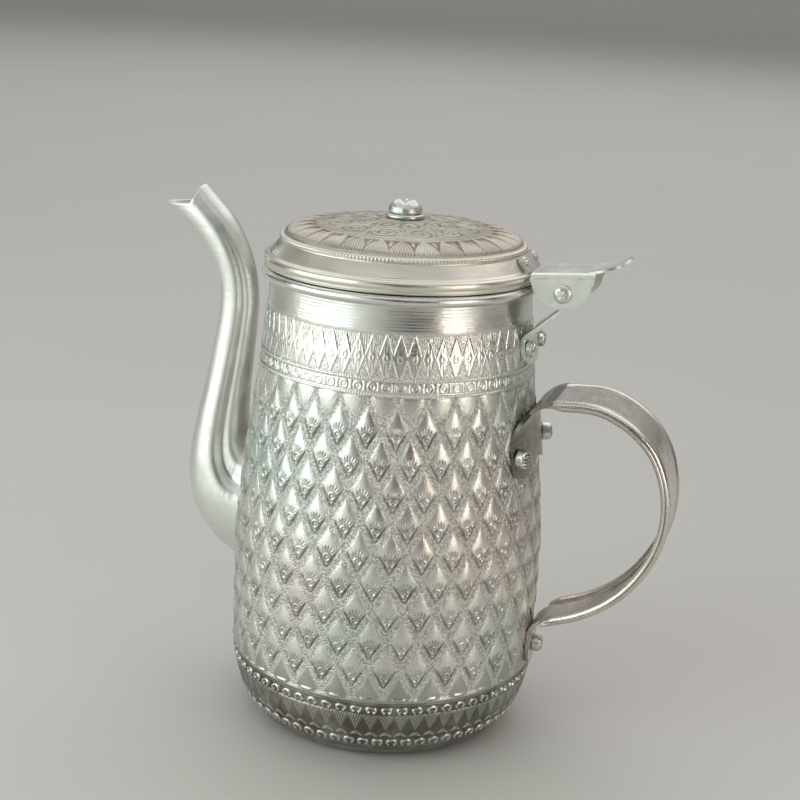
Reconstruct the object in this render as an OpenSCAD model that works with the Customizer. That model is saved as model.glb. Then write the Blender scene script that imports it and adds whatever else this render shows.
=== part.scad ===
// Embossed aluminium coffee pot with a hinged lid.
// Frame: foot on z = 0, pot axis on Z, spout towards -X, handle and hinge towards +X.

/* [Pot] */
// Largest outside radius of the pot
belly_r = 65; // [55:0.5:75]
// Radius of the flat foot
foot_r = 47; // [40:0.5:52]
// Thickness of the pot's wall
wall = 1.3; // [0.8:0.1:2]
// Height of the top of the rolled rim
rim_top = 192.9; // [180:0.1:200]
// Radius of the roll of the rim's section
rim_roll = 2.15; // [1.5:0.05:3]
// Radius from the pot's axis to the middle of the rolled rim
rim_r = 54.9; // [50:0.1:60]

/* [Spout] */
// Thickness of the spout's wall
spout_wall = 1.2; // [0.8:0.1:2]
// Radius of the tube that goes through the pot's wall
spout_root_r = 14; // [8:0.5:15]
// Height of that tube's middle
spout_root_z = 81; // [70:0.5:95]
// Depth of the fold along each side, as a share of the half width
fold = 0.16; // [0:0.01:0.3]

/* [Handle] */
// Thickness of the handle's sheet
strap_t = 1.6; // [1:0.1:2.5]
// Half of the strap's width
strap_half = 17; // [12:0.5:20]
// Turn of each hem, which narrows the strap downwards
strap_taper = 2.5; // [0:0.1:4]
// Thickness of the hemmed edges
hem_t = 4; // [2:0.1:6]
// Width of each hem
hem_w = 4.6; // [3:0.1:10]
// Depth of the strap's middle below the hems
hem_lip = 0.5; // [0:0.1:1]
// Angle of each upper handle rivet from the handle's middle
grip_rivet_angle = 19.5; // [12:0.5:24]
// Height of the upper handle rivets
grip_rivet_z = 126; // [120:0.5:132]
// Height of the lower handle rivet
tab_rivet_z = 38.5; // [34:0.5:44]
// Radius of the rivet shanks of the handle
rivet_shank_r = 2.2; // [1.5:0.1:3]

/* [Hinge] */
// Distance of the hinge pin from the pot's axis
pin_x = 69.3; // [66:0.1:74]
// Height of the hinge pin
pin_z = 192.3; // [188:0.1:197]
// Radius of the hinge pin
pin_r = 1.8; // [1:0.1:2.5]
// Radial gap between the pin and the lever's ears
pin_gap = 0.05; // [0.01:0.01:0.1]
// Thickness of the bracket's sheet
bracket_t = 1.9; // [1:0.1:2.5]
// Half of the bracket's width over its ears
bracket_half = 12; // [9:0.1:13]
// Slope of the bracket's arm
bracket_slope = 42; // [30:1:55]
// Angle of each bracket rivet from the hinge's middle
bracket_rivet_angle = 9.8; // [7:0.1:12]
// Height of the bracket rivets
bracket_rivet_z = 168.3; // [165:0.1:171]

/* [Lever] */
// Thickness of the lever's sheet
lever_t = 1.5; // [1:0.1:2]
// Half of the lever's outside width
lever_half = 14; // [11:0.5:16]
// Tilt of the lever's top plate
lever_tilt = 5.5; // [0:0.5:12]
// Radius of the round ears
ear_r = 12.4; // [9:0.1:14]
// Angle of each lever rivet from the lever's middle
lever_rivet_angle = 8.5; // [5:0.5:10]
// Radius of the lever rivets' shanks
lever_rivet_r = 1.3; // [0.8:0.1:1.6]

/* [Lid] */
// Height of the lid's lower edge, just clear of the rim
lid_z = 193.2; // [193:0.05:194]
// Outside radius of the lid's flange
flange_r = 56.5; // [54:0.1:58]
// Radius of the dome's edge
dome_r = 48.3; // [45:0.1:51]
// Height of the beaded shoulder
shoulder_z = 205.3; // [203:0.1:208]
// Height of the dome's top under the knob
dome_top = 213.9; // [210:0.1:217]
// Thickness of the lid's sheet
lid_t = 1.2; // [0.8:0.1:2]

/* [Knob] */
// Radius of the washer under the knob
washer_r = 8; // [6:0.1:10]
// Thickness of the washer
washer_t = 1.7; // [1:0.1:3]
// Radius of the knob
knob_r = 6.9; // [5:0.1:8]
// Height of the knob
knob_h = 5; // [3:0.1:8]
// Radius of the knob's shank
knob_shank_r = 2; // [1:0.1:3]

/* [Hidden] */
$fn = 64;
fit = 0.05;
aluminium = [0.80, 0.80, 0.79];
dull = [0.66, 0.66, 0.65];
rim_z = rim_top - rim_roll;

// Outside of the pot, from the foot up to the neck, as [radius, height].
pot_outside = [[foot_r, 0], [51.4, 0.9], [54.7, 3], [57.8, 7], [60.7, 12], [63.2, 20],
  [64.6, 30], [belly_r, 42], [belly_r, 80], [64.2, 92], [62.6, 108], [60.7, 124],
  [58.9, 138], [57.4, 150], [56.8, 155], [56.3, 160], [55.6, 168], [54.6, 176],
  [53.9, 184], [53.7, rim_z]];

// Shifts a profile towards the axis, square to its own line.
function unit(v) = v / norm(v);
function side(p, i) = unit(p[min(i + 1, len(p) - 1)] - p[max(i - 1, 0)]);
function inset(p, d) = [for (i = [0 : len(p) - 1]) p[i] + d * [-side(p, i)[1], side(p, i)[0]]];
pot_inside = inset(pot_outside, wall);

// Outside radius of the pot at a height.
function pot_r(z) = lookup(z, [for (p = pot_outside) [p[1], p[0]]]);

// Smooth line through a list of values at t = 0, 1, 2 and so on.
function spline(p, t) =
  let (n = len(p) - 1, i = min(floor(t), n - 1), f = t - i,
    a = p[max(i - 1, 0)], b = p[i], c = p[i + 1], d = p[min(i + 2, n)])
  0.5 * (2 * b + f * (c - a) + f * f * (2 * a - 5 * b + 4 * c - d)
    + f * f * f * (3 * b - a - 3 * c + d));

// A closed skin over rings of points: rings is a list of equal lists.
module skin(rings) {
  m = len(rings[0]);
  n = len(rings);
  quads = [for (i = [0 : n - 2]) for (j = [0 : m - 1]) for (k = [0, 1])
    k == 0 ? [i * m + j, (i + 1) * m + (j + 1) % m, i * m + (j + 1) % m]
      : [i * m + j, (i + 1) * m + j, (i + 1) * m + (j + 1) % m]];
  first = [for (j = [1 : m - 2]) [0, j, j + 1]];
  last = [for (f = first) [(n - 1) * m + f[0], (n - 1) * m + f[2], (n - 1) * m + f[1]]];
  polyhedron(points = [for (r = rings) for (q = r) q], faces = concat(quads, first, last));
}

// A ring of sheet that follows the pot's outside between two heights.
module wrap(z0, z1, near, far) {
  rotate_extrude()
    polygon([[pot_r(z0) + near, z0], [pot_r(z0) + far, z0], [pot_r(z1) + far, z1],
      [pot_r(z1) + near, z1]]);
}

// A shape drawn in the XZ plane, made into a bar across the pot.
module along_y(half) {
  rotate([90, 0, 0])
    translate([0, 0, -half])
      linear_extrude(2 * half)
        children();
}

// Places a rivet square to the pot's wall, its seat at a radius r from the axis.
module on_wall(angle, z, r) {
  rotate([0, 0, angle])
    translate([r, 0, z])
      rotate([0, 90, 0])
        children();
}

// A rivet along Z: head above the seat, shank and closing head below it.
module rivet(head_r, head_h, crown, shank_r, grip, close_r, close_h) {
  rotate_extrude()
    polygon([[0, -grip - close_h], [close_r - 0.5, -grip - close_h], [close_r, -grip],
      [shank_r, -grip], [shank_r, 0], [head_r, 0], [head_r, head_h - crown],
      [head_r * 0.86, head_h - crown * 0.45], [head_r * 0.55, head_h - crown * 0.1],
      [0, head_h]]);
}

/* The pot */

module body() {
  color(aluminium)
    difference() {
      union() {
        rotate_extrude()
          polygon(concat([[0, 0]], pot_outside, [[53.7 - wall, rim_z]],
            [for (i = [len(pot_inside) - 2 : -1 : 0]) pot_inside[i]], [[0, wall]]));
        translate([0, 0, rim_z])
          rotate_extrude()
            translate([rim_r, 0])
              circle(r = rim_roll);
      }
      translate([0, 0, spout_root_z])
        rotate([0, -90, 0])
          cylinder(r = spout_root_r + fit, h = belly_r + 5);
      for (s = [-1, 1]) {
        on_wall(s * grip_rivet_angle, grip_rivet_z, 40)
          cylinder(r = rivet_shank_r + fit, h = 30);
        on_wall(s * bracket_rivet_angle, bracket_rivet_z, 40)
          cylinder(r = rivet_shank_r + fit, h = 30);
      }
      on_wall(0, tab_rivet_z, 50)
        cylinder(r = rivet_shank_r + fit, h = 30);
    }
}

/* The spout */

// Outer and inner edge of the spout in the XZ plane, and its half width, at each station.
spout_front = [[-58, 55], [-66, 57], [-75.5, 62.6], [-83.3, 70.4], [-89.2, 80.5],
  [-91.8, 93], [-91, 106], [-88.6, 120], [-85.4, 134.5], [-82.6, 149], [-80.3, 162],
  [-79.3, 173], [-80.2, 182], [-84, 190.6], [-90.4, 198.6], [-98, 205.4], [-106, 211]];
spout_back = [[-50, 108], [-57, 108], [-62.6, 108.5], [-64.6, 109.8], [-65.6, 112.2],
  [-66.2, 116], [-66.5, 121.5], [-66.2, 129.5], [-65.4, 139.5], [-64.3, 151],
  [-63.3, 162], [-62.8, 172], [-64.2, 184], [-68.4, 196], [-74.6, 206.4],
  [-81.2, 213.4], [-88.6, 220.6]];
spout_half = [17.5, 17.5, 17.3, 16.8, 15.9, 14.8, 13.5, 12.1, 10.7, 9.4, 8.5, 8.1, 8.2, 8.4, 8.4,
  8.1, 7.6];
spout_steps = 3;
spout_sides = 28;

// The fold along each side starts a little above the root.
function fold_cut(a, t) = fold * exp(-pow((a - 62) / 13, 2)) * lookup(t, [[2.5, 0], [6, 1]]);
function spout_ring(t, inwards) =
  let (f = spline(spout_front, t), b = spline(spout_back, t), w = spline(spout_half, t) - inwards,
    m = (f + b) / 2, u = (b - f) / 2, l = norm(u) - inwards, d = unit(u))
  [for (k = [0 : spout_sides - 1])
    let (a = 360 * k / spout_sides, g = a > 180 ? 360 - a : a, q = 1 - fold_cut(g, t))
    [m[0] + d[0] * l * cos(a) * q, w * sin(a) * q, m[1] + d[1] * l * cos(a) * q]];

module spout_solid(inwards) {
  skin([for (i = [0 : (len(spout_front) - 1) * spout_steps]) spout_ring(i / spout_steps, inwards)]);
}

// The space that the pot takes, from its outside profile.
module pot_block(gap) {
  rotate_extrude()
    polygon(concat([[0, 12]],
      [for (p = pot_outside) if (p[1] > 11 && p[1] < 190) [p[0] + gap, p[1]]], [[0, 184]]));
}

// The space inside the pot's wall near the spout's root, kept clear of the wall by a gap.
module pot_hollow(gap) {
  rotate_extrude()
    polygon(concat([[0, 42]],
      [for (p = inset(pot_outside, wall + gap)) if (p[1] > 41 && p[1] < 130) p], [[0, 124]]));
}

// A plain bar along -X through the pot's wall at the spout's root.
module root_bar(r, x0, x1) {
  translate([-x1, 0, spout_root_z])
    rotate([0, 90, 0])
      cylinder(r = r, h = x1 - x0);
}

module spout() {
  color(aluminium)
    difference() {
      union() {
        difference() {
          spout_solid(0);
          difference() {
            spout_solid(spout_wall);
            pot_block(fit + spout_wall);
          }
          pot_block(fit);
          // The pour lip: a level cut at the front and a raised flap behind it.
          rotate([90, 0, 0])
            translate([0, 0, -20])
              linear_extrude(40)
                polygon([[-125, 211.3], [-106, 210.8], [-90.2, 212], [-88.2, 215.2],
                  [-86.6, 217.6], [-84, 219], [-80, 221], [-80, 240], [-125, 240]]);
        }
        // Root through the pot's wall, with a turned edge inside.
        difference() {
          union() {
            root_bar(spout_root_r, belly_r - wall - 2.4, belly_r + 0.9);
            intersection() {
              root_bar(spout_root_r + 2.5, belly_r - 14, belly_r);
              pot_hollow(fit);
            }
          }
          pot_hollow(fit + 1.25);
        }
      }
      root_bar(spout_root_r - spout_wall, belly_r - 16, belly_r + 1.5);
    }
}

/* The handle */

// Line of the strap in the XZ plane, from the pot's shoulder round to the lower end. It is
// the face that lies on the pot at first and is then the outside of the strap.
strap_line = [[58.8, 139.4], [59.2, 141.6], [60.7, 144.2], [64.2, 147.2], [69.5, 149.3], [76, 150],
  [83, 150.3], [90, 149.4], [97.5, 146.4], [104.5, 141.9], [111, 135.4], [115.6, 127.2],
  [118.4, 118], [119.4, 108.5], [118.6, 98.6], [115.6, 88.4], [110.2, 77.9], [102.8, 68.6],
  [94.2, 61.4], [85.4, 56.4], [77.2, 53.2], [71.4, 51.4], [68.6, 49.4], [67.2, 46.4],
  [66.8, 43.4]];
strap_end = len(strap_line) - 1;
neck_end = 21;
// Half of the saddle plate's outline in the YZ plane, from the middle of its lower edge up.
plate_half = [[0, 123.4], [3.6, 122.2], [7.2, 120.3], [11.4, 118.4], [15.6, 117], [19.4, 116.8],
  [22.2, 118.3], [23.6, 121.3], [24.2, 125.5], [24, 129.6], [22.6, 133.6], [20.6, 137],
  [18.6, 140], [17.2, 143]];
// Half of the lower tab's outline in the YZ plane.
tab_half = [[3, 30.4], [5.6, 31.6], [7, 34.2], [7.4, 37.5], [7.4, 49]];

function smooth(p, step) = [for (i = [0 : step : len(p) - 1]) spline(p, i)];
function mirrored(p) =
  concat(p, [for (i = [len(p) - 1 : -1 : 0]) if (p[i][0] > 0) [-p[i][0], p[i][1]]]);
function strap_at(i, depth) =
  let (q = spline(strap_line, min(i + 0.05, strap_end)) - spline(strap_line, max(i - 0.05, 0)))
  spline(strap_line, i) - depth * unit([-q[1], q[0]]);
// How far the hems stand out at a station, from nothing at their ends to the full thickness.
function swell(i) = lookup(i, [[3.4, 0], [5.4, 1], [19.6, 1], [20.8, 0]]);

// A band of the strap between two stations, with its outer and inner depth.
module strap_band(i0, i1, d0, d1, y0, y1) {
  rotate([90, 0, 0])
    translate([0, 0, y0])
      linear_extrude(y1 - y0)
        polygon(concat([for (i = [i0 : 0.5 : i1]) strap_at(i, d0 * swell(i))],
          [for (i = [i1 : -0.5 : i0]) strap_at(i, strap_t + (d1 - strap_t) * swell(i))]));
}

// The strap narrows towards its lower end: each hem is turned a little about its top.
function panel_half(z) = strap_half - hem_w + 1.6 - (150 - z) * tan(strap_taper);
module strap_hem(s) {
  translate([0, s * (strap_half - hem_w / 2), 150])
    rotate([-s * strap_taper, 0, 0])
      translate([0, 0, -150])
        strap_band(2, neck_end, 0, hem_t, -hem_w / 2, hem_w / 2);
}

// Cuts a ring of sheet to an outline seen from the handle's side.
module cut_out(outline) {
  rotate([90, 0, 90])
    linear_extrude(90)
      polygon(outline);
}

module handle() {
  color(aluminium)
    difference() {
      union() {
        // Saddle plate round the pot.
        intersection() {
          union() {
            wrap(108, 124, 2 * fit, strap_t);
            wrap(124, 138, 2 * fit, strap_t);
            wrap(138, 143.4, 2 * fit, strap_t);
          }
          cut_out(mirrored(smooth(plate_half, 0.5)));
        }
        // Where the plate leaves the pot and flattens into the strap.
        difference() {
          along_y(strap_half)
            polygon(concat([[56, 138], [60.45, 138]],
              [for (i = [0.5 : 0.5 : 3]) strap_at(i, strap_t)],
              [for (i = [3 : -0.5 : 1]) strap_at(i, 0)], [[56, strap_line[1][1]]]));
          rotate_extrude()
            polygon([[60.5, 136], [68, 136], [68, 144], [65, 144], [60.5, 138]]);
        }
        // Strap, its two hemmed edges, and the narrow end.
        intersection() {
          strap_band(2, neck_end, hem_lip, strap_t + hem_lip, -strap_half + 1.5, strap_half - 1.5);
          cut_out([[-panel_half(40), 40], [panel_half(40), 40], [panel_half(160), 160],
            [-panel_half(160), 160]]);
        }
        for (s = [-1, 1])
          strap_hem(s);
        strap_band(neck_end - 1, strap_end, 0, strap_t, -tab_half[4][0], tab_half[4][0]);
        // Tab on the pot.
        intersection() {
          union() {
            wrap(30, 42, 2 * fit, strap_t);
            wrap(42, 49, 2 * fit, strap_t);
          }
          cut_out(mirrored(smooth(tab_half, 0.5)));
        }
      }
      pot_block(2 * fit);
      for (s = [-1, 1])
        on_wall(s * grip_rivet_angle, grip_rivet_z, 50)
          cylinder(r = rivet_shank_r + fit, h = 20);
      on_wall(0, tab_rivet_z, 60)
        cylinder(r = rivet_shank_r + fit, h = 12);
    }
}

module grip_rivet(s) {
  color(aluminium)
    on_wall(s * grip_rivet_angle, grip_rivet_z, pot_r(grip_rivet_z) + strap_t + 0.55)
      rivet(4, 4.3, 1.4, rivet_shank_r, wall + strap_t + 1.1, 3.4, 1.2);
}

module handle_rivet_left() {
  grip_rivet(1);
}

module handle_rivet_right() {
  grip_rivet(-1);
}

module handle_rivet_lower() {
  color(aluminium)
    on_wall(0, tab_rivet_z, 66.75)
      rivet(3.5, 3.2, 1.8, rivet_shank_r, 66.75 - 63.3, 3.4, 1.2);
}

/* The hinge */

arm_foot = [55.4, 173.9];
arm_dir = [cos(bracket_slope), sin(bracket_slope)];
arm_out = [sin(bracket_slope), -cos(bracket_slope)];
arm_len = 22.2;
arm_top = arm_foot + arm_dir * arm_len;

module bracket_ear(y0, y1) {
  rotate([90, 0, 0])
    translate([0, 0, y0])
      linear_extrude(y1 - y0)
        polygon(concat([for (a = [-30 : 10 : 180]) [pin_x, pin_z] + 5.3 * [cos(a + 12), sin(a + 12)]],
          [arm_foot + arm_dir * 17 - arm_out * 0.4, arm_foot + arm_dir * 17.6 + arm_out * bracket_t,
            arm_top + arm_out * bracket_t]));
}

module hinge_bracket() {
  color(aluminium)
    difference() {
      union() {
        // Plate that lies against the neck.
        intersection() {
          union() {
            wrap(160, 168.3, 2 * fit, bracket_t);
            wrap(168.3, 175.4, 2 * fit, bracket_t);
          }
          rotate([90, 0, 90])
            linear_extrude(80)
              polygon([[-13.4, 175.4], [-13.4, 167.5], [-12.2, 164], [-9.4, 161.6], [-6, 160.8],
                [6, 160.8], [9.4, 161.6], [12.2, 164], [13.4, 167.5], [13.4, 175.4]]);
        }
        // Sloping arm.
        along_y(bracket_half)
          polygon([arm_foot, arm_top, arm_top + arm_out * bracket_t,
            arm_foot + [1.9, 0.1], arm_foot + [1.8, -1.8], arm_foot + [0.6, -1.8]]);
        bracket_ear(bracket_half - 1.6, bracket_half);
        bracket_ear(-bracket_half, -bracket_half + 1.6);
      }
      translate([pin_x, 30, pin_z])
        rotate([90, 0, 0])
          cylinder(r = pin_r, h = 60);
      for (s = [-1, 1])
        on_wall(s * bracket_rivet_angle, bracket_rivet_z, 50)
          cylinder(r = rivet_shank_r + fit, h = 20);
    }
}

module bracket_rivet(s) {
  color(aluminium)
    on_wall(s * bracket_rivet_angle, bracket_rivet_z, pot_r(bracket_rivet_z) + bracket_t + 0.25)
      rivet(3.5, 2.9, 1.3, rivet_shank_r, wall + bracket_t + 0.6, 3.3, 1.1);
}

module bracket_rivet_left() {
  bracket_rivet(1);
}

module bracket_rivet_right() {
  bracket_rivet(-1);
}

module hinge_pin() {
  color(aluminium)
    translate([pin_x, 0, pin_z])
      rotate([90, 0, 0])
        rotate_extrude()
          polygon([[0, -lever_half - 2.4], [1.8, -lever_half - 2.2], [3.1, -lever_half - 1.5],
            [3.75, -lever_half - 0.2], [pin_r, -lever_half - 0.2], [pin_r, lever_half + 0.2],
            [3.75, lever_half + 0.2], [3.1, lever_half + 1.5], [1.8, lever_half + 2.2],
            [0, lever_half + 2.4]]);
}

/* The lid */

// Outside of the lid's sloping wall, and the direction square to it.
wall_low = [53.8, 198.6];
wall_top = [49.6, shoulder_z - 0.9];
wall_dir = unit(wall_top - wall_low);
wall_out = [wall_dir[1], -wall_dir[0]];
wall_high = wall_low + wall_dir * 6.2;
// Distance from the lid's wall to the outer face of the lever's flange.
flange_face = 1.6;

// Places a rivet square to the lid's wall, its seat at a distance out from the wall.
module on_lid_wall(angle, out) {
  rotate([0, 0, angle])
    translate([wall_low[0] + wall_dir[0] * 3.4, 0, wall_low[1] + wall_dir[1] * 3.4])
      rotate([0, atan2(wall_out[0], wall_out[1]), 0])
        translate([0, 0, out])
          children();
}

module lid() {
  color(aluminium)
    difference() {
      rotate_extrude()
        polygon([[0, dome_top - lid_t], [8, dome_top - lid_t - 0.2], [15, 211.7], [25, 210.4],
          [34, 209], [42, 207.9], [46, 206.2], [47.1, 204.8], [48.3, 204], [52.7, 197.9],
          [53.2, 197], [54.2, 196.4], [54.2, lid_z], [flange_r - 0.7, lid_z],
          [flange_r - 0.5, lid_z + 1], [flange_r - 0.8, lid_z + 1.4], [flange_r - 0.1, lid_z + 1.9],
          [flange_r, lid_z + 3], [flange_r - 0.5, lid_z + 4.3], [flange_r - 1.6, lid_z + 5],
          wall_low, wall_top, [50.1, shoulder_z - 0.4], [50.2, shoulder_z],
          [49.8, shoulder_z + 0.6], [49, shoulder_z + 0.8], [dome_r, shoulder_z + 0.7],
          [dome_r - 0.2, 206.8], [47.2, 207.9], [45, 208.9], [42, 209.6], [38, 210.2],
          [34, 210.6], [25, 211.7], [15, 212.9], [8, dome_top], [0, dome_top]]);
      translate([0, 0, 200])
        cylinder(r = knob_shank_r + fit, h = 20);
      for (s = [-1, 1])
        on_lid_wall(s * lever_rivet_angle, -4)
          cylinder(r = lever_rivet_r + fit, h = 8);
    }
}

/* The lever */

plate_dir = [cos(lever_tilt), sin(lever_tilt)];
plate_up = [-sin(lever_tilt), cos(lever_tilt)];
plate_out = [81.2, 201.5];
plate_in = [54.2, plate_out[1] - 27 * tan(lever_tilt)];
ear_mid = [pin_x - 0.7, pin_z + 6.2];

module lever_ear(y0, y1) {
  rotate([90, 0, 0])
    translate([0, 0, y0])
      linear_extrude(y1 - y0)
        polygon(concat([plate_out - plate_up * 0.3 - plate_dir * 0.3,
          plate_out - plate_up * 0.3 - plate_dir * 25.4],
          [for (a = [190 : 10 : 360]) ear_mid + ear_r * [cos(a), sin(a)]]));
}

module lid_lever() {
  color(aluminium)
    difference() {
      union() {
        // Top plate, from the lid's wall to the end of the channel.
        along_y(lever_half)
          polygon([plate_in, plate_out, plate_out - plate_up * lever_t,
            plate_in - plate_up * lever_t]);
        lever_ear(lever_half - lever_t, lever_half);
        lever_ear(-lever_half, -lever_half + lever_t);
        // Flange turned up against the lid's wall.
        intersection() {
          rotate_extrude()
            polygon([wall_low - wall_dir * 1.5 - wall_out * 0.6,
              wall_low - wall_dir * 1.5 + wall_out * flange_face,
              wall_high + wall_out * flange_face, wall_high - wall_out * 0.6]);
          translate([40, -11, 195])
            cube([25, 22, 12]);
        }
        // Thumb paddle, dished and turned up at its end.
        intersection() {
          along_y(16)
            polygon([plate_out - plate_dir * 2 - plate_up * 0.4, [84, 202.8], [88, 204.2],
              [91, 205.5], [92.6, 207.3], [93.2, 206.6], [91.8, 204.3], [88.5, 202.7],
              [84.5, 201.4], [82, 200.3], plate_out - plate_dir * 2 - plate_up * (lever_t - 0.3)]);
          linear_extrude(260)
            polygon([[78, -11], [82, -11.5], [86, -11.7], [89, -10.6], [91.4, -8], [92.8, -4.4],
              [93.2, 0], [92.8, 4.4], [91.4, 8], [89, 10.6], [86, 11.7], [82, 11.5], [78, 11]]);
        }
      }
      translate([pin_x, 30, pin_z])
        rotate([90, 0, 0])
          cylinder(r = pin_r + pin_gap, h = 60);
      for (s = [-1, 1])
        on_lid_wall(s * lever_rivet_angle, -4)
          cylinder(r = lever_rivet_r + fit, h = 8);
      // Room for the lid's round wall and flange behind the plate.
      rotate_extrude()
        polygon([[0, 192], [flange_r + 0.3, 192], [flange_r + 0.3, 197.3],
          [55.2, lid_z + 5.15], wall_low + wall_out * 0.1,
          wall_high + wall_out * 0.1 + wall_dir * 0.9, [0, shoulder_z + 1]]);
    }
}

module lever_rivet(s) {
  color(dull)
    on_lid_wall(s * lever_rivet_angle, flange_face + fit)
      rivet(2.1, 1.3, 0.8, lever_rivet_r, flange_face + lid_t + 0.3, 2.1, 0.8);
}

module lever_rivet_left() {
  lever_rivet(1);
}

module lever_rivet_right() {
  lever_rivet(-1);
}

/* The knob */

module knob_washer() {
  color(aluminium)
    translate([0, 0, dome_top + fit])
      rotate_extrude()
        polygon([[knob_shank_r + fit, 0], [washer_r - 0.3, 0], [washer_r, 0.5],
          [washer_r, washer_t - 0.4], [washer_r - 0.5, washer_t], [knob_shank_r + fit, washer_t]]);
}

module knob() {
  color(aluminium)
    translate([0, 0, dome_top + 2 * fit + washer_t])
      rotate_extrude()
        polygon([[0, -5.2], [3.2, -5.2], [3.4, -4.2], [3.4, -3.1], [knob_shank_r, -3.1],
          [knob_shank_r, 0], [knob_r - 0.4, 0], [knob_r, 0.6], [knob_r, 1.4],
          [knob_r - 0.6, 2.8], [knob_r - 1.9, 4.2], [knob_r - 3.2, knob_h], [1.5, knob_h - 0.2],
          [0, knob_h - 0.3]]);
}

body();
spout();
handle();
handle_rivet_left();
handle_rivet_right();
handle_rivet_lower();
hinge_bracket();
bracket_rivet_left();
bracket_rivet_right();
hinge_pin();
lid();
lid_lever();
lever_rivet_left();
lever_rivet_right();
knob_washer();
knob();
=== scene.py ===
"""Looks of the embossed aluminium coffee pot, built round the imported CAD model. Lengths in the shape
code are millimetres, which make() turns into metres."""

import bmesh
import bpy
import numpy as np
from mathutils import Matrix, Vector


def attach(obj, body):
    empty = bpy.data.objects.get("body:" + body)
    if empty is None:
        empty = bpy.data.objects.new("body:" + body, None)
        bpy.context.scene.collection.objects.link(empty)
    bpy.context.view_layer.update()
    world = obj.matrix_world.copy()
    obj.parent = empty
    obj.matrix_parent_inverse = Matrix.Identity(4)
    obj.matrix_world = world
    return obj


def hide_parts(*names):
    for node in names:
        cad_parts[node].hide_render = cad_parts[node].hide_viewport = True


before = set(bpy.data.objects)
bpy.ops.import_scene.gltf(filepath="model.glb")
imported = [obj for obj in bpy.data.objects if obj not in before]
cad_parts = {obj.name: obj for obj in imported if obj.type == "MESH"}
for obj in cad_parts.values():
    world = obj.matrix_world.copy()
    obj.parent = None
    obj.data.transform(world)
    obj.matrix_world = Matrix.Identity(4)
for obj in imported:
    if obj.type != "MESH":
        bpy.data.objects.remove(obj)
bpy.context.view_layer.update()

PI = np.pi
MM = 0.001

# ---- curves ----


def smooth_line(points, n):
    """Catmull-Rom line through points, n samples to a span."""
    p = np.asarray(points, float)
    p = np.vstack([2 * p[0] - p[1], p, 2 * p[-1] - p[-2]])
    out = []
    for i in range(1, len(p) - 2):
        f = np.linspace(0, 1, n, endpoint=False)[:, None]
        a, b, c, d = p[i - 1 : i + 3]
        square, cube = 2 * a - 5 * b + 4 * c - d, 3 * b - a - 3 * c + d
        out.append(0.5 * (2 * b + f * (c - a) + f**2 * square + f**3 * cube))
    return np.vstack(out + [p[-2:-1]])


def rounded(points, radius, n=4):
    """A polyline with its corners rounded by short curves. radius is one number or one for each point."""
    p = np.asarray(points, float)
    r = np.full(len(p), radius, float) if np.isscalar(radius) else np.asarray(radius, float)
    out = [p[:1]]
    for i in range(1, len(p) - 1):
        a, b, c = p[i - 1 : i + 2]
        la, lc = np.linalg.norm(a - b), np.linalg.norm(c - b)
        k = min(r[i], la * 0.48, lc * 0.48)
        if k < 1e-6:
            out.append(b[None])
            continue
        s, e = b + (a - b) / la * k, b + (c - b) / lc * k
        t = np.linspace(0, 1, n + 1)[:, None]
        out.append((1 - t) ** 2 * s + 2 * t * (1 - t) * b + t**2 * e)
    return np.vstack(out + [p[-1:]])


def even(points, step):
    """Points at an even spacing along a polyline."""
    p = np.asarray(points, float)
    s = np.concatenate([[0], np.cumsum(np.linalg.norm(np.diff(p, axis=0), axis=1))])
    t = np.linspace(0, s[-1], max(2, int(np.ceil(s[-1] / step)) + 1))
    return np.column_stack([np.interp(t, s, p[:, k]) for k in range(p.shape[1])])


def even_between_poles(points, step):
    """As even, but the first and last points, on the axis, stay joined to the line by one long step."""
    return np.vstack([points[:1], even(points[1:-1], step), points[-1:]])


def near(x, width):
    """A smooth hump of height 1 at x = 0."""
    return np.exp(-((x / width) ** 2))


def ramp(x, a, b):
    """A smooth step from 0 at a to 1 at b."""
    t = np.clip((x - a) / (b - a), 0, 1)
    return t * t * (3 - 2 * t)


def directions(angles):
    """Unit vectors in a plane, one for each angle."""
    return np.column_stack([np.cos(angles), np.sin(angles)])


# ---- meshes ----


def grid_faces(rows, cols, wrap_rows=False, wrap_cols=False):
    """Quads over a grid of points. A wrapped side closes on itself."""
    i = np.arange(rows if wrap_rows else rows - 1)[:, None]
    j = np.arange(cols if wrap_cols else cols - 1)[None]
    i2, j2 = (i + 1) % rows, (j + 1) % cols
    return np.stack([i * cols + j, i * cols + j2, i2 * cols + j2, i2 * cols + j], -1).reshape(-1, 4)


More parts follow.
